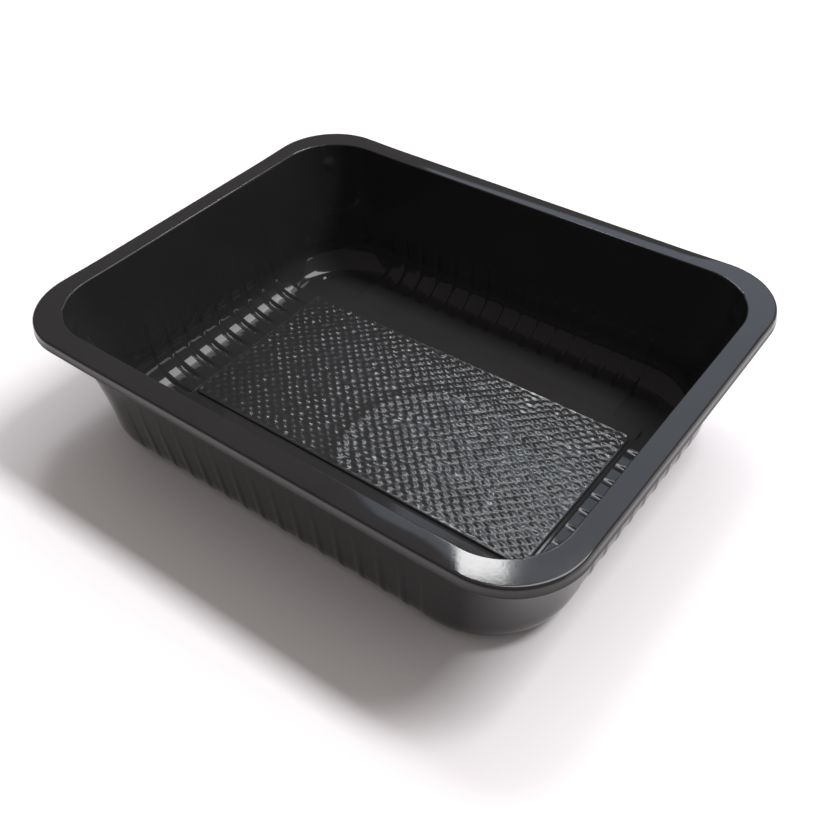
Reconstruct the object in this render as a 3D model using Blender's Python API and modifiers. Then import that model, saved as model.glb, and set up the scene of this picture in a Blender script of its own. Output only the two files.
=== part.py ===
"""Deep plastic meat tray, thermoformed from one sheet.

A flat sealing flange with a rounded, turned-down lip runs round a deep rectangular
well.  The foot of the well is scalloped by upright ribs, which run on across the
floor as short grooves, and a raised panel stands in the middle of the floor.  The corners
of the well widen from a tight radius at its mouth to that of the foot, and a small
de-nesting lug stands in each of them just under the flange.

Metres, +Z up.  X runs along the long sides.  The tray stands on z = 0 and its
origin is the middle of its base.
"""

import math
from dataclasses import dataclass

import bmesh
import bpy

NAME = "plastic_meat_tray"
NODE = "tray"

# Overall size
LENGTH = 0.227
WIDTH = 0.178
HEIGHT = 0.057
SHEET = 0.0008

# Flange and lip: the upper side of the sheet, seen from the outline inwards
OUTLINE_RADIUS = 0.027
FLANGE_WIDTH = 0.009
LIP_RADIUS = 0.0013
SKIRT_DEPTH = 0.0038
RIM_RADIUS = 0.0014
MOUTH_RADIUS = 0.0235

# Well: the inner side of its walls where they reach the foot
FOOT_HALF_X = 0.1005
FOOT_HALF_Y = 0.0766
FOOT_CORNER_RADIUS = 0.032
FOOT_FILLET = 0.012
CORNER_SEGMENTS = 12
WIDENING_DEPTH = 0.032

# Ribs: the sheet between them is pressed inwards, and the ribs keep the corners' level
RIB_PITCH = 0.009
RIBS_LONG_SIDE = 14
RIBS_SHORT_SIDE = 8
RIB_CREST_WIDTH = 0.0022
RIB_FLANK_WIDTH = 0.001
RIB_DEPTH = 0.001
RIB_WALL_DEPTH = 0.0003
RIB_START_DEPTH = 0.014

# Floor, as heights over the inner side of the floor in the corners
GROOVE_END_HALF_X = 0.0865
GROOVE_END_HALF_Y = 0.061
STEP_HALF_X = 0.0798
STEP_HALF_Y = 0.0465
STEP_HEIGHT = 0.0016
PANEL_HALF_X = 0.0786
PANEL_HALF_Y = 0.0388
PANEL_HEIGHT = 0.0029
PANEL_CORNER_RADIUS = 0.003
RISE_RUN = 0.0006

# De-nesting lugs in the corners, as depths under the flange
LUG_TOP = 0.0045
LUG_CREST = 0.009
LUG_BOTTOM = 0.0125
LUG_REACH = 0.0008
LUG_SHOULDER = 0.8

SHARP_ANGLE = math.radians(38.0)

QUADRANTS = ((1, 1), (-1, 1), (-1, -1), (1, -1))


@dataclass
class Ring:
    """One level line of the sheet: a rounded rectangle at a height.

    pressed is how far the ribbed stretches are pushed in, tilt is the slope of that push
    (0 level, 90 straight up), and grooved_long and grooved_short say whether the ribs
    still lie open on the long and the short sides.
    """

    half_x: float
    half_y: float
    radius: float
    z: float
    ribbed: bool = False
    pressed: float = 0.0
    tilt: float = 0.0
    grooved_long: bool = True
    grooved_short: bool = True
    lug: float = 0.0


def clear_scene():
    """Remove whatever objects the file holds."""
    for obj in list(bpy.data.objects):
        bpy.data.objects.remove(obj, do_unlink=True)


def rib_stations(count):
    """Places along one side as (distance from its middle, level): 0 rib, 1 pad, 2 smooth."""
    half_crest = RIB_CREST_WIDTH / 2
    half_foot = half_crest + RIB_FLANK_WIDTH
    stations = []
    for index in range(count):
        middle = (index - (count - 1) / 2) * RIB_PITCH
        stations.append((middle - half_foot, 1))
        stations.append((middle - half_crest, 0))
        stations.append((middle + half_crest, 0))
        stations.append((middle + half_foot, 1))
    pad_end = (count + 1) / 2 * RIB_PITCH - half_foot
    smooth_start = pad_end + RIB_FLANK_WIDTH
    return [(-smooth_start, 2), (-pad_end, 1)] + stations + [(pad_end, 1), (smooth_start, 2)]


def press_in(ring, level, long_side):
    """How far a ribbed column is pushed off the smooth surface."""
    grooved = ring.grooved_long if long_side else ring.grooved_short
    if level == 2 or (level == 0 and grooved):
        return 0.0
    return ring.pressed


def side_points(ring, quadrant):
    """Points of the ribbed side that follows a corner, anticlockwise seen from above."""
    tilt = math.radians(ring.tilt)
    sign_x, sign_y = QUADRANTS[quadrant]
    long_side = quadrant % 2 == 0
    points = []
    for along, level in rib_stations(RIBS_LONG_SIDE if long_side else RIBS_SHORT_SIDE):
        push = press_in(ring, level, long_side)
        inward = push * math.cos(tilt)
        z = ring.z + push * math.sin(tilt)
        if long_side:
            points.append((-sign_x * along, sign_y * (ring.half_y - inward), z))
        else:
            points.append((sign_x * (ring.half_x - inward), -sign_y * along, z))
    return points


def corner_points(ring, quadrant):
    """Points round one corner, drawn in where the lug stands."""
    sign_x, sign_y = QUADRANTS[quadrant]
    centre_x = sign_x * (ring.half_x - ring.radius)
    centre_y = sign_y * (ring.half_y - ring.radius)
    middle = CORNER_SEGMENTS // 2
    points = []
    for index in range(CORNER_SEGMENTS + 1):
        angle = math.pi / 2 * (quadrant + index / CORNER_SEGMENTS)
        share = {0: 1.0, 1: LUG_SHOULDER}.get(abs(index - middle), 0.0)
        reach = ring.radius - ring.lug * share
        points.append((centre_x + reach * math.cos(angle), centre_y + reach * math.sin(angle), ring.z))
    return points


def ring_runs(bm, ring):
    """Vertices of a ring in runs: each corner, then the side up to the next corner."""
    runs = []
    for quadrant in range(4):
        runs.append([bm.verts.new(point) for point in corner_points(ring, quadrant)])
        side = side_points(ring, quadrant) if ring.ribbed else []
        runs.append([bm.verts.new(point) for point in side])
    return runs


def closed_side(runs, index):
    """A side's run with the corner vertices at its two ends."""
    following = runs[(index + 1) % len(runs)]
    return [runs[index - 1][-1]] + runs[index] + [following[0]]


def skin(bm, outer, inner):
    """Fill the band between two neighbouring rings, upper side of the sheet up."""
    for index, (outer_run, inner_run) in enumerate(zip(outer, inner)):
        if index % 2:
            outer_run = closed_side(outer, index)
            inner_run = closed_side(inner, index)
        if len(outer_run) == len(inner_run):
            for step in range(len(outer_run) - 1):
                bm.faces.new((outer_run[step], outer_run[step + 1], inner_run[step + 1], inner_run[step]))
        else:
            bm.faces.new(outer_run + inner_run[::-1])


def lip_and_flange():
    """Rings from the cut edge of the skirt over the lip to the mouth of the well."""
    half_x = LENGTH / 2
    half_y = WIDTH / 2
    rings = [Ring(half_x, half_y, OUTLINE_RADIUS, HEIGHT - SKIRT_DEPTH)]
    for degrees in (0, 45, 90):
        angle = math.radians(degrees)
        inset = LIP_RADIUS * (1 - math.cos(angle))
        drop = LIP_RADIUS * (1 - math.sin(angle))
        rings.append(Ring(half_x - inset, half_y - inset, OUTLINE_RADIUS - inset, HEIGHT - drop))
    for degrees in (0, 45, 90):
        angle = math.radians(degrees)
        inset = FLANGE_WIDTH - RIM_RADIUS * (1 - math.sin(angle))
        drop = RIM_RADIUS * (1 - math.cos(angle))
        rings.append(Ring(half_x - inset, half_y - inset, MOUTH_RADIUS, HEIGHT - drop))
    return rings


def wall_ring(depth, **extra):
    """A ring on the drafted wall at a depth under the flange, its corners wider further down."""
    foot_depth = HEIGHT - SHEET - FOOT_FILLET
    share = (depth - RIM_RADIUS) / (foot_depth - RIM_RADIUS)
    half_x = LENGTH / 2 - FLANGE_WIDTH
    half_y = WIDTH / 2 - FLANGE_WIDTH
    widened = min((depth - RIM_RADIUS) / (WIDENING_DEPTH - RIM_RADIUS), 1.0)
    return Ring(
        half_x + (FOOT_HALF_X - half_x) * share,
        half_y + (FOOT_HALF_Y - half_y) * share,
        MOUTH_RADIUS + (FOOT_CORNER_RADIUS - MOUTH_RADIUS) * widened,
        HEIGHT - depth,
        **extra,
    )


def well_walls():
    """Rings down the walls: the lugs, the head of the ribs and the foot."""
    return [
        wall_ring(LUG_TOP),
        wall_ring(LUG_CREST, lug=LUG_REACH),
        wall_ring(LUG_BOTTOM),
        wall_ring(RIB_START_DEPTH, ribbed=True),
        wall_ring(WIDENING_DEPTH, ribbed=True, pressed=RIB_WALL_DEPTH / 2),
        wall_ring(HEIGHT - SHEET - FOOT_FILLET, ribbed=True, pressed=RIB_WALL_DEPTH),
    ]


def foot_and_floor():
    """Rings round the foot fillet, over the grooved floor, and up to the raised panel."""
    rings = []
    for degrees in (30, 60, 90):
        angle = math.radians(degrees)
        inset = FOOT_FILLET * (1 - math.cos(angle))
        drop = FOOT_FILLET * (1 - math.sin(angle))
        rings.append(
            Ring(
                FOOT_HALF_X - inset,
                FOOT_HALF_Y - inset,
                FOOT_CORNER_RADIUS - inset,
                SHEET + drop,
                ribbed=True,
                pressed=RIB_DEPTH,
                tilt=degrees,
            )
        )
    fade_radius = (FOOT_CORNER_RADIUS - FOOT_FILLET + PANEL_CORNER_RADIUS) / 2
    floor = {"ribbed": True, "pressed": RIB_DEPTH, "tilt": 90, "grooved_long": False}
    step_x = STEP_HALF_X + RISE_RUN
    step_y = STEP_HALF_Y + RISE_RUN
    panel_x = PANEL_HALF_X + RISE_RUN
    panel_y = PANEL_HALF_Y + RISE_RUN
    rings.append(Ring(GROOVE_END_HALF_X, GROOVE_END_HALF_Y, fade_radius, SHEET, **floor))
    rings.append(Ring(step_x, step_y, PANEL_CORNER_RADIUS + RISE_RUN, SHEET, **floor))
    rings.append(Ring(STEP_HALF_X, STEP_HALF_Y, PANEL_CORNER_RADIUS, SHEET + STEP_HEIGHT, ribbed=True))
    rings.append(Ring(panel_x, panel_y, PANEL_CORNER_RADIUS, SHEET + STEP_HEIGHT))
    rings.append(Ring(PANEL_HALF_X, PANEL_HALF_Y, PANEL_CORNER_RADIUS, SHEET + PANEL_HEIGHT))
    return rings


def tray_mesh():
    """The upper side of the sheet as one open surface."""
    bm = bmesh.new()
    rings = [ring_runs(bm, ring) for ring in lip_and_flange() + well_walls() + foot_and_floor()]
    for outer, inner in zip(rings, rings[1:]):
        skin(bm, outer, inner)
    bm.faces.new([vert for run in rings[-1] for vert in run])
    mesh = bpy.data.meshes.new(NODE)
    bm.to_mesh(mesh)
    bm.free()
    mesh.shade_smooth()
    mesh.set_sharp_from_angle(angle=SHARP_ANGLE)
    return mesh


def black_plastic():
    """Glossy black polypropylene."""
    material = bpy.data.materials.new("black_plastic")
    material.use_nodes = True
    shader = material.node_tree.nodes["Principled BSDF"]
    shader.inputs["Base Color"].default_value = (0.016, 0.017, 0.019, 1.0)
    shader.inputs["Roughness"].default_value = 0.24
    shader.inputs["Metallic"].default_value = 0.0
    return material


def build_tray(collection):
    """Add the tray to a collection, its sheet thickened away from the upper side."""
    tray = bpy.data.objects.new(NODE, tray_mesh())
    tray.data.materials.append(black_plastic())
    collection.objects.link(tray)
    sheet = tray.modifiers.new("sheet", "SOLIDIFY")
    sheet.thickness = SHEET
    sheet.offset = -1.0
    sheet.use_even_offset = True
    return tray


def main():
    """Build the tray in a collection of its own."""
    clear_scene()
    collection = bpy.data.collections.new(NAME)
    bpy.context.scene.collection.children.link(collection)
    build_tray(collection)


main()
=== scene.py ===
"""Looks of a deep black plastic meat tray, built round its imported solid.

The whole formed sheet is one shell: turned-down lip, sealing flange, drafted walls,
ribbed foot, grooved floor and step.  The woven panel in the middle of the floor is a
second piece, let into the shell's edge.  Metres, +Z up, as in the frame.
"""

import logging
import math
from dataclasses import asdict, dataclass, field
from enum import Enum
from typing import Any, Iterable, Optional, Union

import bmesh
import bpy
from mathutils import Matrix, Vector, noise


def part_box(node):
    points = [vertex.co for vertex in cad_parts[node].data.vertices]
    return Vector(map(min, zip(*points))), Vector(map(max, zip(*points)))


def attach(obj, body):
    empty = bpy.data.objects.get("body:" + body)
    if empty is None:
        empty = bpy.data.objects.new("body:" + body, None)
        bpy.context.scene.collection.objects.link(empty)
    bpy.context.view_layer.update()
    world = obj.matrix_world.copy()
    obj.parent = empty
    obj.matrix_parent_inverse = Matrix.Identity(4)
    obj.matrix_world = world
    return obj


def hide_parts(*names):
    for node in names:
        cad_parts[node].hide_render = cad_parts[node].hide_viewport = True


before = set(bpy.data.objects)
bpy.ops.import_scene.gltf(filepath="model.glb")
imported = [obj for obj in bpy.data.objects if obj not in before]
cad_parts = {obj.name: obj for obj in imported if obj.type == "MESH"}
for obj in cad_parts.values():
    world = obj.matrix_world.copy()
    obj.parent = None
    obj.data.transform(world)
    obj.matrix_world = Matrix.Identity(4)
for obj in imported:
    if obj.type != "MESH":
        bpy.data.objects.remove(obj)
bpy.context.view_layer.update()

CAD_NODE = "tray"
BODY = "root"
MM = 0.001
LOG = logging.getLogger("meat_tray")

QUADRANT_SIGNS = ((1, 1), (-1, 1), (-1, -1), (1, -1))
RISE_SHARES = (0.0, 0.2, 0.5, 0.8, 1.0)
FADE_SHARES = (0.0, 0.35, 0.7, 1.0)
LUG_SHARES = (0.0, 0.25, 0.5, 0.75, 1.0)
RIB_SHARES = (0.0, 0.15, 0.3, 0.45, 0.6, 0.8, 1.0)
SHARP_ANGLE = 50.0
QUARTER_TURN = 90.0
PLACE_DIGITS = 7

Triple = tuple[float, float, float]
Pair = tuple[float, float]


class Turn(Enum):
    """Which of the two kinds of stretch a column of the sheet lies on."""

    CORNER = "corner"
    SIDE = "side"


def smooth_share(value: float) -> float:
    """Ease a value from 0 to 1, held at both ends."""
    held = min(max(value, 0.0), 1.0)
    return held * held * (3.0 - 2.0 * held)


def spaced(start: float, stop: float, count: int) -> list[float]:
    """Evenly spaced numbers from start to stop, both among them.

    Args:
        start: First number.
        stop: Last number.
        count: How many steps lie between them.

    Returns:
        count + 1 numbers.
    """
    return [start + (stop - start) * step / count for step in range(count + 1)]


# --------------------------------------------------------------------------- shader maths


class Wire:
    """A shader value that adds up like a number, each sum adding a Math node."""

    def __init__(self, tree: bpy.types.NodeTree, socket: Any) -> None:
        """Keep the tree and the socket that the value comes from."""
        self.tree = tree
        self.socket = socket

    def _math(self, operation: str, first: Any, second: Any) -> "Wire":
        """Add a Math node.

        Args:
            operation: The node's operation.
            first: A wire or a number.
            second: A wire or a number.

        Returns:
            The node's result.
        """
        return add_node(self.tree, "ShaderNodeMath", {"operation": operation}, {0: first, 1: second})

    def __add__(self, other: Any) -> "Wire":
        """This value plus another."""
        return self._math("ADD", self, other)

    def __radd__(self, other: Any) -> "Wire":
        """Another value plus this one."""
        return self._math("ADD", other, self)

    def __sub__(self, other: Any) -> "Wire":
        """This value less another."""
        return self._math("SUBTRACT", self, other)

    def __rsub__(self, other: Any) -> "Wire":
        """Another value less this one."""
        return self._math("SUBTRACT", other, self)

    def __mul__(self, other: Any) -> "Wire":
        """This value times another."""
        return self._math("MULTIPLY", self, other)

    def __rmul__(self, other: Any) -> "Wire":
        """Another value times this one."""
        return self._math("MULTIPLY", other, self)


def add_node(
    tree: bpy.types.NodeTree,
    kind: str,
    settings: Optional[dict[str, Any]] = None,
    inputs: Optional[dict[Union[int, str], Any]] = None,
    output: Union[int, str] = 0,
) -> Wire:
    """Add a node, set it up and join its inputs.

    Args:
        tree: The node tree.
        kind: The node's type name.
        settings: Properties of the node.
        inputs: Numbers, colours or wires by socket name or index.
        output: The socket that the returned wire reads.

    Returns:
        A wire on the chosen output.
    """
    node = tree.nodes.new(kind)
    for name, value in (settings or {}).items():
        setattr(node, name, value)
    for name, value in (inputs or {}).items():
        if isinstance(value, Wire):
            tree.links.new(value.socket, node.inputs[name])
        else:
            node.inputs[name].default_value = value
    return Wire(tree, node.outputs[output])


# --------------------------------------------------------------------------- finishes


@dataclass(frozen=True)
class BlackPlastic:
    """Glossy black sheet: nearly black below, with the faint orange peel of hot forming.

    mottle, scuff and peel are noises, each with its scale, detail and roughness.  weave
    holds the two thread pitches of a woven emboss, whose valleys are duller.
    """

    name: str = "formed_sheet_black"
    deep: Triple = (0.0112, 0.0106, 0.0106)
    thin: Triple = (0.0146, 0.0142, 0.0150)
    roughness: float = 0.07
    roughness_swing: float = 0.05
    mottle: Triple = (38.0, 3.0, 0.55)
    scuff: Triple = (260.0, 4.0, 0.6)
    peel: Triple = (900.0, 2.0, 0.5)
    peel_height: float = 0.01 * MM
    peel_strength: float = 0.35
    ior: float = 1.5
    weave: Optional[Pair] = None
    valley_roughness: float = 0.12

    def build(self) -> bpy.types.Material:
        """Make the material, its pattern on object coordinates."""
        material = bpy.data.materials.new(self.name)
        material.use_nodes = True
        tree = material.node_tree
        shader = tree.nodes["Principled BSDF"]
        place = add_node(tree, "ShaderNodeTexCoord", output="Object")
        mottle = self.noise(tree, place, self.mottle)
        scuff = self.noise(tree, place, self.scuff)
        peel = self.noise(tree, place, self.peel)
        colour = add_node(
            tree, "ShaderNodeMix", {"data_type": "RGBA"},
            {0: mottle, 6: (*self.deep, 1.0), 7: (*self.thin, 1.0)}, output=2,
        )
        swing = self.roughness_swing
        rough = self.roughness + (mottle - 0.5) * swing + (scuff - 0.5) * swing
        if self.weave:
            rough = rough + self.valleys(tree, place) * self.valley_roughness
        bump = add_node(
            tree, "ShaderNodeBump", None,
            {"Strength": self.peel_strength, "Distance": self.peel_height, "Height": peel},
            output="Normal",
        )
        tree.links.new(colour.socket, shader.inputs["Base Color"])
        tree.links.new(rough.socket, shader.inputs["Roughness"])
        tree.links.new(bump.socket, shader.inputs["Normal"])
        shader.inputs["IOR"].default_value = self.ior
        return material

    def noise(self, tree: bpy.types.NodeTree, place: Wire, kind: Triple) -> Wire:
        """Add a noise on object coordinates.

        Args:
            tree: The material's nodes.
            place: Object coordinates.
            kind: Scale, detail and roughness.

        Returns:
            The noise, from 0 to 1.
        """
        scale, detail, roughness = kind
        return add_node(
            tree, "ShaderNodeTexNoise", {"noise_dimensions": "3D"},
            {"Vector": place, "Scale": scale, "Detail": detail, "Roughness": roughness},
        )

    def valleys(self, tree: bpy.types.NodeTree, place: Wire) -> Wire:
        """Where the weave lies low, from 0 on a thread's back to 1 between the threads.

        Args:
            tree: The material's nodes.
            place: Object coordinates.

        Returns:
            The share.
        """
        waves = []
        for axis, pitch in zip(("X", "Y"), self.weave):
            along = add_node(tree, "ShaderNodeSeparateXYZ", None, {0: place}, output=axis)
            turns = along * (math.pi / pitch)
            waves.append(add_node(tree, "ShaderNodeMath", {"operation": "COSINE"}, {0: turns}))
        return 0.5 - 0.5 * waves[0] * waves[1]


@dataclass(frozen=True)
class TableTop:
    """Matt pale surface that the tray stands on."""

    name: str = "pale_table"
    colour: Triple = (0.50, 0.485, 0.50)
    roughness: float = 0.6
    specular: float = 0.2

    def build(self) -> bpy.types.Material:
        """Make the material."""
        material = bpy.data.materials.new(self.name)
        material.use_nodes = True
        shader = material.node_tree.nodes["Principled BSDF"]
        shader.inputs["Base Color"].default_value = (*self.colour, 1.0)
        shader.inputs["Roughness"].default_value = self.roughness
        shader.inputs["Specular IOR Level"].default_value = self.specular
        return material


# --------------------------------------------------------------------------- formed sheet


@dataclass(frozen=True)
class Level:
    """One level line of the sheet: a rounded rectangle at a height.

    push_in and push_up are how far the pads between the ribs stand inward and upward of it,
    open_long and open_short how far the ribs still lie open on the long and short sides,
    lug how far the corner lug stands in, notch how far the corner is let out, and dip how
    far the straight sides hang under the flange.
    """

    half_x: float
    half_y: float
    radius: float
    z: float
    push_in: float = 0.0
    push_up: float = 0.0
    open_long: float = 1.0
    open_short: float = 1.0
    lug: float = 0.0
    notch: float = 0.0
    dip: float = 0.0

    def towards(self, other: "Level", share: float) -> "Level":
        """The level that lies at a share of the way to another."""
        mine, theirs = asdict(self), asdict(other)
        return Level(**{name: mine[name] + (theirs[name] - mine[name]) * share for name in mine})


def held_flat(levels: list[Level], margin: float) -> list[Level]:
    """Add a level close to both ends of every wide gap, so that flats are shaded flat.

    Args:
        levels: Levels in order.
        margin: Distance of the added levels from the ends.

    Returns:
        The levels with those in between.
    """
    wide = 8.0 * margin
    least = 4.0 * margin
    filled = [levels[0]]
    for first, second in zip(levels, levels[1:]):
        gaps = (abs(first.half_x - second.half_x), abs(first.half_y - second.half_y))
        if max(gaps) > wide:
            share = margin / max(min(gaps), least)
            filled += [first.towards(second, share), first.towards(second, 1.0 - share)]
        filled.append(second)
    return filled


@dataclass(frozen=True)
class Column:
    """One upright line of the sheet, found again on every level.

    Args:
        quadrant: Corner that it is in, or that its side follows, anticlockwise from +X +Y.
        turn: Whether it lies on a corner or a side.
        share: Share of the corner's quarter turn, or of the way on from the ribs to a corner.
        along: Distance from the side's middle, in the ribbed stretch.
    """

    quadrant: int
    turn: Turn
    share: float = 0.0
    along: float = 0.0


@dataclass
class Ribs:
    """The row of upright ribs on each side, and the pads pressed in between them.

    depth is the pads' press at the floor and wall_depth at the foot of the wall, spread the
    steps from the ribs on to a corner, and pads_late how late in the fillet the pads rise.
    """

    pitch: float = 9.0 * MM
    on_long_side: int = 14
    on_short_side: int = 8
    half_crest: float = 0.45 * MM
    flank: float = 1.25 * MM
    depth: float = 0.9 * MM
    wall_depth: float = 0.30 * MM
    offsets_mm: tuple[float, ...] = (0.0, 0.45, 0.9, 1.3, 1.7, 2.9)
    pads_late: float = 1.3
    spread: int = 4

    def reach(self, count: int) -> float:
        """Half the length of the ribbed stretch on a side with so many ribs."""
        return (count + 1) / 2 * self.pitch

    def pad(self, along: float, count: int) -> float:
        """How much of the full press a place on a side has, ribs left out.

        Args:
            along: Distance from the side's middle.
            count: Ribs on this side.

        Returns:
            1 on a pad, 0 on a rib's crest and past the last pad.
        """
        if abs(along) >= self.reach(count):
            return 0.0
        turns = along / self.pitch + (count - 1) / 2
        away = abs(turns - round(turns)) * self.pitch
        return smooth_share((away - self.half_crest) / self.flank)

    def band(self, along: float, count: int) -> float:
        """The press where the ribs have run out: 1 along the whole ribbed stretch."""
        return smooth_share((self.reach(count) - abs(along) - self.half_crest) / self.flank)

    def stations(self, count: int) -> list[float]:
        """Places of the columns along the ribbed stretch, closest on the ribs' flanks.

        Args:
            count: Ribs on this side.

        Returns:
            Distances from the side's middle, from the positive end to the negative one.
        """
        places = []
        for index in range(-1, count + 1):
            middle = (index - (count - 1) / 2) * self.pitch
            for offset in self.offsets_mm:
                places += [middle + offset * MM, middle - offset * MM]
            places.append(middle + self.pitch / 2)
        limit = self.reach(count) + 0.5 * self.half_crest
        kept = {round(place, PLACE_DIGITS) for place in places if abs(place) <= limit}
        return sorted(kept, reverse=True)


@dataclass
class TrayShell:
    """The formed sheet from the cut edge of its lip to the edge of the woven panel.

    Widths and heights are those of the sheet's upper side.  Turns and angles are in degrees,
    and depths count down from the flange.
    """

    name: str = "tray_sheet"
    highest: Vector = field(default_factory=lambda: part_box(CAD_NODE)[1])
    sheet: float = 0.8 * MM
    ribs: Ribs = field(default_factory=Ribs)

    outline_radius: float = 27.0 * MM
    flange_width: float = 9.0 * MM
    lip_radius: float = 1.3 * MM
    skirt_depth: float = 3.8 * MM
    flare: float = 0.35 * MM
    skirt_bends_mm: tuple[Pair, ...] = ((0.0, 0.0), (0.15, 0.35), (0.35, 0.75))
    lip_steps: int = 6
    edge_hold: float = 0.12 * MM
    edge_ease: float = 0.4 * MM
    corner_shrink: float = 0.4
    rim_radius: float = 0.5 * MM
    rim_steps: int = 4
    mouth_radius: float = 23.5 * MM
    notch: float = 0.35 * MM
    notch_half_turn: float = 4.0
    notch_edge_turn: float = 3.0
    mouth_ease: float = 0.1 * MM
    below_rim: float = 0.3 * MM
    outer_dip: float = 0.30 * MM
    inner_dip: float = 0.12 * MM
    dip_fade: float = 18.0 * MM

    foot_half_x: float = 100.5 * MM
    foot_half_y: float = 76.6 * MM
    foot_corner: float = 32.0 * MM
    fillet: float = 12.0 * MM
    fillet_steps: int = 8
    ramp_angle: float = 3.0
    foot_run: float = 13.9 * MM
    corner_steps: int = 24
    longest_zone: float = 0.97

    widening_depth: float = 40.0 * MM
    lug_top: float = 4.5 * MM
    lug_crest: float = 9.0 * MM
    lug_bottom: float = 12.5 * MM
    lug_reach: float = 0.45 * MM
    lug_half_turn: float = 9.0
    lug_edge_turn: float = 7.0
    rib_start: float = 14.0 * MM

    groove_end_x: float = 86.5 * MM
    groove_end_y: float = 61.0 * MM
    groove_fade_x: float = 1.2 * MM
    groove_fade_y: float = 2.0 * MM
    groove_fade_ramp: float = 1.0 * MM
    short_groove_fade: float = 0.3
    step_x: float = 80.0 * MM
    step_y: float = 46.5 * MM
    step_height: float = 1.3 * MM
    step_lift: float = 0.3 * MM
    panel_x: float = 78.6 * MM
    panel_y: float = 38.8 * MM
    panel_height: float = 2.5 * MM
    panel_corner: float = 3.0 * MM
    rise: float = 0.5 * MM
    riser_share: float = 0.75
    border: float = 0.5 * MM
    flat_margin: float = 0.15 * MM

    @property
    def half_length(self) -> float:
        """Half the tray's length."""
        return self.highest.x

    @property
    def half_width(self) -> float:
        """Half the tray's width."""
        return self.highest.y

    @property
    def height(self) -> float:
        """Level of the flange."""
        return self.highest.z

    @property
    def foot_depth(self) -> float:
        """Depth at which the wall runs into the foot's fillet."""
        return self.height - self.sheet - self.foot_line(0.0, 0.0)[0][1]

    def columns(self) -> list[Column]:
        """Every column once round the tray, anticlockwise from the +X end of the first corner."""
        found = []
        for quadrant in range(len(QUADRANT_SIGNS)):
            for step in range(self.corner_steps + 1):
                found.append(Column(quadrant, Turn.CORNER, step / self.corner_steps))
            count = self.ribs.on_long_side if quadrant % 2 == 0 else self.ribs.on_short_side
            spread = self.ribs.spread
            for step in range(1, spread):
                found.append(Column(quadrant, Turn.SIDE, 1.0 - step / spread, 1.0))
            for along in self.ribs.stations(count):
                found.append(Column(quadrant, Turn.SIDE, 0.0, along))
            for step in range(1, spread):
                found.append(Column(quadrant, Turn.SIDE, step / spread, -1.0))
        return found

    def corner_place(self, column: Column, level: Level) -> Triple:
        """Place of a corner's column on a level."""
        sign_x, sign_y = QUADRANT_SIGNS[column.quadrant]
        angle = math.pi / 2 * (column.quadrant + column.share)
        off_middle = abs(column.share - 0.5) * QUARTER_TURN
        lug = level.lug * smooth_share((self.lug_half_turn - off_middle) / self.lug_edge_turn)
        notch = level.notch * smooth_share((self.notch_half_turn - off_middle) / self.notch_edge_turn)
        reach = level.radius - lug + notch
        x = sign_x * (level.half_x - level.radius) + reach * math.cos(angle)
        y = sign_y * (level.half_y - level.radius) + reach * math.sin(angle)
        return x, y, level.z

    def side_place(self, column: Column, level: Level) -> Triple:
        """Place of a side's column on a level."""
        long_side = column.quadrant % 2 == 0
        sign_x, sign_y = QUADRANT_SIGNS[column.quadrant]
        count = self.ribs.on_long_side if long_side else self.ribs.on_short_side
        straight = (level.half_x if long_side else level.half_y) - level.radius
        full_zone = self.ribs.stations(count)[0]
        squeeze = min(1.0, self.longest_zone * straight / full_zone)
        zone = full_zone * squeeze
        along = column.along * squeeze
        rib_along = column.along
        if column.share:
            along = math.copysign(zone + column.share * (straight - zone), column.along)
            rib_along = full_zone
        still_open = level.open_long if long_side else level.open_short
        ribbed = self.ribs.pad(rib_along, count)
        plain = self.ribs.band(rib_along, count)
        pad = ribbed * still_open + plain * (1.0 - still_open)
        inward = level.push_in * pad
        end = smooth_share((straight - abs(along)) / self.dip_fade)
        z = level.z + level.push_up * pad - level.dip * end
        if long_side:
            return sign_x * along, sign_y * (level.half_y - inward), z
        return sign_x * (level.half_x - inward), sign_y * along, z

    def lip_levels(self) -> list[Level]:
        """Levels from the cut edge over the lip and the flange to the mouth."""
        levels = []
        for inset_mm, rise_mm in self.skirt_bends_mm:
            levels.append(self.lip_level(inset_mm * MM, self.skirt_depth - rise_mm * MM))
        for degrees in spaced(0.0, QUARTER_TURN, self.lip_steps):
            angle = math.radians(degrees)
            inset = self.flare + (self.lip_radius - self.flare) * (1.0 - math.cos(angle))
            levels.append(self.lip_level(inset, self.lip_radius * (1.0 - math.sin(angle))))
        middle = 0.5 * self.flange_width
        for inset in (self.lip_radius + self.edge_hold, self.lip_radius + self.edge_ease, middle):
            share = (inset - self.lip_radius) / (middle - self.lip_radius)
            radius = self.outline_radius - inset * self.corner_shrink
            levels.append(self.level_at(inset, 0.0, radius, dip=self.outer_dip * (1.0 - share)))
        flat_end = self.flange_width - self.rim_radius
        mouth = {"notch": self.notch, "dip": self.inner_dip}
        eased = self.mouth_radius + self.mouth_ease
        for back in (self.edge_ease, self.edge_hold):
            levels.append(self.level_at(flat_end - back, 0.0, eased, **mouth))
        for degrees in spaced(0.0, QUARTER_TURN, self.rim_steps):
            angle = math.radians(degrees)
            inset = self.flange_width - self.rim_radius * (1.0 - math.sin(angle))
            drop = self.rim_radius * (1.0 - math.cos(angle))
            levels.append(self.level_at(inset, drop, self.mouth_radius, **mouth))
        return levels

    def lip_level(self, inset: float, drop: float) -> Level:
        """A level on the lip, whose corner follows the outline."""
        return self.level_at(inset, drop, self.outline_radius - inset, dip=self.outer_dip)

    def level_at(self, inset: float, drop: float, radius: float, **extra: float) -> Level:
        """A level at a distance in from the outline and under the flange."""
        half_x, half_y = self.half_length - inset, self.half_width - inset
        return Level(half_x, half_y, radius, self.height - drop, **extra)

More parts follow.
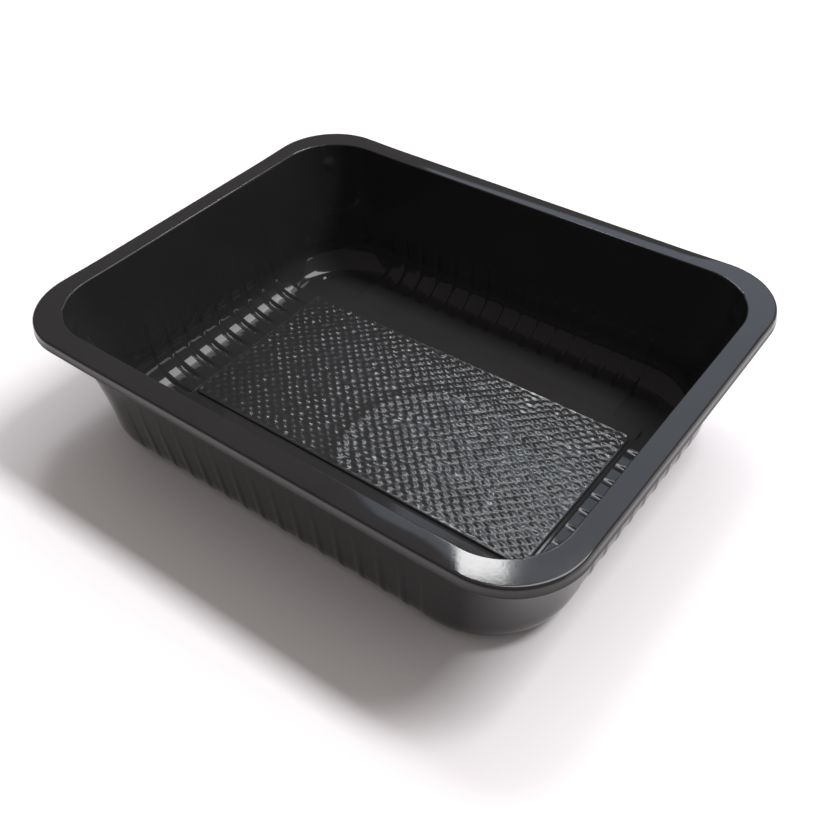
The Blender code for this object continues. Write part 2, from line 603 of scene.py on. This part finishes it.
    def wall_level(self, depth: float, **extra: float) -> Level:
        """A level on the drafted wall, its corners wider further down.

        Args:
            depth: Distance under the flange.
            extra: The level's other fields.

        Returns:
            The level.
        """
        share = (depth - self.rim_radius) / (self.foot_depth - self.rim_radius)
        top_x = self.half_length - self.flange_width
        top_y = self.half_width - self.flange_width
        widened = smooth_share((depth - self.rim_radius) / (self.widening_depth - self.rim_radius))
        radius = self.mouth_radius + (self.foot_corner - self.mouth_radius) * widened
        half_x = top_x + (self.foot_half_x - top_x) * share
        half_y = top_y + (self.foot_half_y - top_y) * share
        return Level(half_x, half_y, radius, self.height - depth, **extra)

    def wall_levels(self) -> list[Level]:
        """Levels down the wall: the lugs and the heads of the ribs."""
        levels = [self.wall_level(self.rim_radius + self.below_rim, notch=self.notch)]
        for share in LUG_SHARES:
            depth = self.lug_top + (self.lug_crest - self.lug_top) * share
            levels.append(self.wall_level(depth, lug=self.lug_reach * smooth_share(share)))
        for share in LUG_SHARES[1:]:
            depth = self.lug_crest + (self.lug_bottom - self.lug_crest) * share
            levels.append(self.wall_level(depth, lug=self.lug_reach * (1.0 - smooth_share(share))))
        for share in RIB_SHARES:
            depth = self.rib_start + (self.foot_depth - self.rib_start) * share
            levels.append(self.wall_level(depth, push_in=self.ribs.wall_depth * share ** 2))
        return levels

    def foot_line(self, wall_inset: float, floor_height: float) -> list[Pair]:
        """Section through the foot: a fillet, then a gentle ramp down to the floor.

        Args:
            wall_inset: Distance of the wall in from its outer line.
            floor_height: Height of the floor over that of the ribs.

        Returns:
            Distances in from the wall's outer line and heights over the floor of the ribs.
        """
        radius = self.fillet - wall_inset
        last = math.radians(QUARTER_TURN - self.ramp_angle)
        ramp_top = wall_inset + radius * (1.0 - math.cos(last))
        rise = self.ramp_height(ramp_top)
        lift = floor_height + rise + radius * math.sin(last)
        return [
            (wall_inset + radius * (1.0 - math.cos(angle)), lift - radius * math.sin(angle))
            for angle in spaced(0.0, last, self.fillet_steps)
        ]

    def ramp_height(self, inset: float) -> float:
        """Height of the ramp over the floor at a distance in from the wall."""
        return max(0.0, self.foot_run - inset) * math.tan(math.radians(self.ramp_angle))

    def foot_levels(self) -> list[Level]:
        """Levels round the foot fillet to the level floor."""
        levels = []
        ribs = self.foot_line(0.0, 0.0)
        pads = self.foot_line(self.ribs.wall_depth, self.ribs.depth)
        for row, ((inset, rise), (pad_inset, pad_rise)) in list(enumerate(zip(ribs, pads)))[1:]:
            late = smooth_share(row / self.fillet_steps) ** self.ribs.pads_late
            levels.append(
                Level(
                    self.foot_half_x - inset, self.foot_half_y - inset, self.foot_corner - inset,
                    self.sheet + rise, push_in=pad_inset - inset, push_up=(pad_rise - rise) * late,
                )
            )
        return levels

    def floor_levels(self) -> list[Level]:
        """Levels over the grooved floor, up the step and up to the woven panel."""
        levels = []
        middle_radius = (self.foot_corner - self.fillet + self.panel_corner) / 2
        for share in FADE_SHARES:
            left = 1.0 - share
            levels.append(
                Level(
                    self.groove_end_x + self.groove_fade_x * left,
                    self.groove_end_y + self.groove_fade_y * left,
                    middle_radius + self.groove_fade_y * left,
                    self.sheet + self.ramp_height(self.foot_run - self.groove_fade_ramp * left),
                    push_up=self.ribs.depth, open_long=1.0 - smooth_share(share),
                    open_short=1.0 - self.short_groove_fade * share,
                )
            )
        for share in RISE_SHARES:
            inset = self.rise * share
            climb = smooth_share(share)
            levels.append(
                Level(
                    self.step_x + self.rise - inset, self.step_y + self.rise - inset,
                    self.panel_corner + self.rise - inset, self.sheet + self.step_height * climb,
                    push_up=self.ribs.depth * (1.0 - climb), open_long=0.0, open_short=0.0,
                )
            )
        panel_foot = self.step_height + self.step_lift
        climb_height = self.panel_height - panel_foot
        rise_x = self.rise * self.riser_share
        for share in RISE_SHARES:
            levels.append(
                Level(
                    self.panel_x + rise_x * (1.0 - share), self.panel_y + self.rise * (1.0 - share),
                    self.panel_corner, self.sheet + panel_foot + climb_height * smooth_share(share),
                )
            )
        levels.append(
            Level(
                self.panel_x - self.border, self.panel_y - self.border,
                self.panel_corner - self.border, self.sheet + self.panel_height,
            )
        )
        return held_flat(levels, self.flat_margin)

    def build(self, material: bpy.types.Material) -> bpy.types.Object:
        """Draw the sheet out ring by ring and give it its thickness.

        Args:
            material: The sheet's finish.

        Returns:
            The finished piece.
        """
        columns = self.columns()
        levels = self.lip_levels() + self.wall_levels() + self.foot_levels() + self.floor_levels()
        bm = bmesh.new()
        number = bm.verts.layers.int.new("column")
        bmesh.ops.create_circle(bm, cap_ends=False, radius=1.0, segments=len(columns))
        for index, vert in enumerate(bm.verts):
            vert[number] = index
        verts = list(bm.verts)
        edges = list(bm.edges)
        for row, level in enumerate(levels):
            if row:
                made = bmesh.ops.extrude_edge_only(bm, edges=edges)["geom"]
                verts = [item for item in made if isinstance(item, bmesh.types.BMVert)]
                fresh = set(verts)
                edges = [
                    item for item in made
                    if isinstance(item, bmesh.types.BMEdge) and set(item.verts) <= fresh
                ]
            for vert in verts:
                column = columns[vert[number]]
                if column.turn is Turn.CORNER:
                    vert.co = self.corner_place(column, level)
                else:
                    vert.co = self.side_place(column, level)
        bm.normal_update()
        highest = max(bm.faces, key=lambda face: face.calc_center_median().z)
        if highest.normal.z < 0.0:
            bmesh.ops.reverse_faces(bm, faces=list(bm.faces))
        return finish_sheet(self.name, bm, self.sheet, material)


@dataclass
class WovenPanel:
    """The raised panel of the floor, embossed like a plain weave.

    patchiness and wander make the emboss uneven, sink sets it into the panel's plane, and
    the crease is a soft arc across the middle.
    """

    shell: TrayShell
    name: str = "floor_panel"
    thread_x: float = 2.33 * MM
    thread_y: float = 2.27 * MM
    cells_per_thread: int = 4
    relief: float = 0.25 * MM
    patchiness: float = 0.7
    patch_length: float = 7.0 * MM
    patch_layer: float = 5.0 * MM
    sink: float = 0.12 * MM
    fade: float = 1.2 * MM
    tuck: float = 0.3 * MM
    step_down: float = 0.02 * MM
    crease_centre: Pair = (25.0 * MM, -15.0 * MM)
    crease_radius: float = 38.0 * MM
    crease_width: float = 3.0 * MM
    crease_height: float = 0.27 * MM
    crease_reach: float = 30.0 * MM
    wander: float = 0.16 * MM
    wander_length: float = 2.6 * MM

    def thread_top(self, x: float, y: float) -> float:
        """Height of the threads that run along X and dip under at every other crossing.

        Args:
            x: Distance along the threads.
            y: Distance across them.

        Returns:
            The height over the valleys between them.
        """
        row = round(y / self.thread_y)
        off = (y - row * self.thread_y) / (0.5 * self.thread_y)
        swell = 0.5 + 0.5 * math.cos(math.pi * (x / self.thread_x + row))
        return self.relief * (1.0 - off * off) * swell

    def height_at(self, x: float, y: float) -> float:
        """Height of the emboss over the panel's plane at a place."""
        patch = noise.noise(Vector((x, y, self.patch_layer)) / self.patch_length)
        top = (1.0 + self.patchiness * patch) * self.thread_top(x, y)
        from_centre = math.hypot(x - self.crease_centre[0], y - self.crease_centre[1])
        side = smooth_share((self.crease_centre[0] - x) / self.crease_reach + 0.5)
        off = (from_centre - self.crease_radius) / self.crease_width
        wander = self.wander * noise.noise(Vector((x, y, 0.0)) / self.wander_length)
        return top + wander - self.sink + self.crease_height * side * math.exp(-off * off)

    def build(self, material: bpy.types.Material) -> bpy.types.Object:
        """Emboss a fine grid and give it the sheet's thickness.

        Args:
            material: The sheet's finish.

        Returns:
            The finished piece.
        """
        half_x = self.shell.panel_x - self.shell.border + self.tuck
        half_y = self.shell.panel_y - self.shell.border + self.tuck
        corner = self.shell.panel_corner - self.shell.border + self.tuck
        base = self.shell.sheet + self.shell.panel_height - self.step_down
        count_x = round(2.0 * half_x / self.thread_x * self.cells_per_thread)
        count_y = round(2.0 * half_y / self.thread_y * self.cells_per_thread)
        bm = bmesh.new()
        bmesh.ops.create_grid(
            bm, x_segments=count_x, y_segments=count_y, size=1.0,
            matrix=Matrix.Diagonal((half_x, half_y, 1.0, 1.0)),
        )
        for vert in bm.verts:
            x, y = vert.co.x, vert.co.y
            past = abs(y) - (half_y - corner)
            if past > 0.0:
                limit = half_x - corner + math.sqrt(max(corner * corner - past * past, 0.0))
                start = half_x - 2.0 * corner
                if abs(x) > start:
                    x = math.copysign(start + (abs(x) - start) * (limit - start) / (half_x - start), x)
            edge = min(half_x - abs(x), half_y - abs(y)) - self.tuck
            share = smooth_share(edge / self.fade)
            vert.co = (x, y, base + share * self.height_at(x, y))
        return finish_sheet(self.name, bm, self.shell.sheet - 2.0 * self.step_down, material)


def finish_sheet(
    name: str, bm: bmesh.types.BMesh, thickness: float, material: bpy.types.Material
) -> bpy.types.Object:
    """Turn an open surface into a solid sheet and hang it on the frame.

    Args:
        name: Name of the piece.
        bm: The upper side of the sheet, freed here.
        thickness: Thickness of the sheet, all of it below the surface.
        material: The finish.

    Returns:
        The piece, with its thickness in its own mesh.
    """
    surface = bpy.data.meshes.new(name + "_surface")
    bm.to_mesh(surface)
    bm.free()
    draft = bpy.data.objects.new(name + "_draft", surface)
    bpy.context.scene.collection.objects.link(draft)
    sheet = draft.modifiers.new("sheet", "SOLIDIFY")
    sheet.thickness = thickness
    sheet.offset = -1.0
    bpy.context.view_layer.update()
    evaluated = draft.evaluated_get(bpy.context.evaluated_depsgraph_get())
    mesh = bpy.data.meshes.new_from_object(evaluated)
    mesh.name = name
    bpy.data.objects.remove(draft)
    mesh.shade_smooth()
    mesh.set_sharp_from_angle(angle=math.radians(SHARP_ANGLE))
    mesh.materials.clear()
    mesh.materials.append(material)
    piece = bpy.data.objects.new(name, mesh)
    bpy.context.scene.collection.objects.link(piece)
    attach(piece, BODY)
    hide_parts(CAD_NODE)
    return piece


# --------------------------------------------------------------------------- studio


def direction(azimuth: float, elevation: float) -> Vector:
    """Unit vector that points in a direction.

    Args:
        azimuth: Degrees anticlockwise from +X.
        elevation: Degrees over the table.

    Returns:
        The vector.
    """
    turn, rise = math.radians(azimuth), math.radians(elevation)
    level = math.cos(rise)
    return Vector((level * math.cos(turn), level * math.sin(turn), math.sin(rise)))


@dataclass(kw_only=True)
class Lamp:
    """A rectangular lamp, without a place of its own."""

    name: str
    radiance: float
    colour: Triple = (1.0, 1.0, 1.0)
    reflected: bool = True

    def add(self, length: float, width: float) -> bpy.types.Object:
        """Add the lamp at the origin, facing down.

        Args:
            length: Its size along X.
            width: Its size along Y.

        Returns:
            The lamp's object.
        """
        light = bpy.data.lights.new(self.name, "AREA")
        light.shape = "RECTANGLE"
        light.size = length
        light.size_y = width
        light.color = self.colour
        light.energy = self.radiance * light.size * light.size_y * math.pi
        lamp = bpy.data.objects.new(self.name, light)
        lamp.visible_glossy = self.reflected
        bpy.context.scene.collection.objects.link(lamp)
        return lamp


@dataclass(kw_only=True)
class Softbox(Lamp):
    """A lamp that faces the tray, placed by its direction as seen from it."""

    azimuth: float
    elevation: float
    distance: float
    width: float
    height: float

    def build(self) -> bpy.types.Object:
        """Add the lamp, facing the middle of the tray."""
        towards = direction(self.azimuth, self.elevation)
        lamp = self.add(self.width, self.height)
        lamp.location = towards * self.distance
        lamp.rotation_euler = towards.to_track_quat("Z", "Y").to_euler()
        return lamp


@dataclass(kw_only=True)
class Skylight(Lamp):
    """A level lamp overhead, its place and size given as shares of its height."""

    middle: Pair
    length: float
    width: float
    turn: float = 0.0
    height: float = 2.4

    def build(self) -> bpy.types.Object:
        """Add the lamp, facing down."""
        lamp = self.add(self.length * self.height, self.width * self.height)
        lamp.location = Vector((*self.middle, 1.0)) * self.height
        lamp.rotation_euler = (0.0, 0.0, math.radians(self.turn))
        return lamp


@dataclass
class Studio:
    """Camera, pale table and soft light.

    The focal length is in pixels of an image of the given side, and angles are in degrees.
    """

    image_side: int = 840
    focal_pixels: float = 1009.467
    azimuth: float = -51.847
    elevation: float = 43.386
    roll: float = -2.098
    distance: float = 317.121 * MM
    target: Triple = (42.314 * MM, -45.346 * MM, 57.0 * MM)
    sensor: float = 36.0
    near_clip: float = 10.0 * MM
    table_half: float = 3.0
    table_gap: float = 0.02 * MM
    room_colour: Triple = (0.13, 0.12, 0.12)

    def camera(self) -> bpy.types.Object:
        """Add the camera and make it the scene's own."""
        forward = -direction(self.azimuth, self.elevation)
        level = forward.cross(Vector((0.0, 0.0, 1.0))).normalized()
        upright = level.cross(forward)
        roll = math.radians(self.roll)
        right = level * math.cos(roll) + upright * math.sin(roll)
        up = upright * math.cos(roll) - level * math.sin(roll)
        data = bpy.data.cameras.new("view")
        data.sensor_width = self.sensor
        data.lens = self.focal_pixels * self.sensor / self.image_side
        data.clip_start = self.near_clip
        camera = bpy.data.objects.new("view", data)
        place = Vector(self.target) - forward * self.distance
        turned = Matrix((right, up, -forward)).transposed().to_4x4()
        camera.matrix_world = Matrix.Translation(place) @ turned
        bpy.context.scene.collection.objects.link(camera)
        bpy.context.scene.camera = camera
        return camera

    def table(self) -> bpy.types.Object:
        """Add the pale table top."""
        bm = bmesh.new()
        bmesh.ops.create_grid(bm, x_segments=1, y_segments=1, size=self.table_half)
        mesh = bpy.data.meshes.new("table_top")
        bm.to_mesh(mesh)
        bm.free()
        mesh.materials.append(TableTop().build())
        table = bpy.data.objects.new("table_top", mesh)
        table.location = (0.0, 0.0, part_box(CAD_NODE)[0].z - self.table_gap)
        bpy.context.scene.collection.objects.link(table)
        return table

    def world(self) -> None:
        """Make the room dim all round."""
        world = bpy.data.worlds.new("room")
        world.use_nodes = True
        background = world.node_tree.nodes["Background"]
        background.inputs["Color"].default_value = (*self.room_colour, 1.0)
        bpy.context.scene.world = world

    def lamps(self) -> None:
        """Hang the lamps: two that show in the plastic, three fills and two bright walls."""
        lamps = (
            Skylight(
                name="tube", middle=(-0.447, 0.707), length=0.27, width=0.072, turn=123.0, radiance=18.0
            ),
            Skylight(name="roof_light", middle=(0.025, 0.52), length=0.59, width=0.36, radiance=5.8),
            Skylight(
                name="fill_right", middle=(0.46, 0.43), length=0.50, width=0.20, radiance=70.0,
                reflected=False,
            ),
            Skylight(
                name="fill_left", middle=(-0.26, 0.42), length=0.20, width=0.20, radiance=34.0,
                reflected=False,
            ),
            Skylight(
                name="ceiling", middle=(0.0, 0.0), length=3.2, width=3.2, radiance=0.70,
                colour=(1.0, 0.93, 0.88), reflected=False,
            ),
            Softbox(
                name="lit_wall", azimuth=110.0, elevation=44.0, distance=1.6, width=0.86, height=0.76,
                radiance=1.0, colour=(0.78, 0.92, 1.12),
            ),
            Softbox(
                name="far_wall", azimuth=32.0, elevation=12.0, distance=3.0, width=3.4, height=1.1,
                radiance=1.5,
            ),
        )
        for lamp in lamps:
            lamp.build()

    def build(self) -> None:
        """Set up everything round the tray."""
        self.camera()
        self.table()
        self.world()
        self.lamps()
        bpy.context.scene.view_settings.view_transform = "Standard"


def report(pieces: Iterable[bpy.types.Object]) -> None:
    """Log each piece with its count of triangles."""
    for piece in pieces:
        triangles = sum(len(polygon.vertices) - 2 for polygon in piece.data.polygons)
        LOG.info("%s: %d triangles", piece.name, triangles)


def main() -> None:
    """Build the tray's pieces and the studio, and log each piece's count of triangles."""
    logging.basicConfig(level=logging.INFO, format="%(name)s: %(message)s")
    plastic = BlackPlastic().build()
    shell = TrayShell()
    panel = WovenPanel(shell)
    woven = BlackPlastic(
        name="formed_sheet_black_woven", roughness=0.12, weave=(panel.thread_x, panel.thread_y)
    ).build()
    pieces = [shell.build(plastic), panel.build(woven)]
    Studio().build()
    report(pieces)


if __name__ == "__main__":
    main()
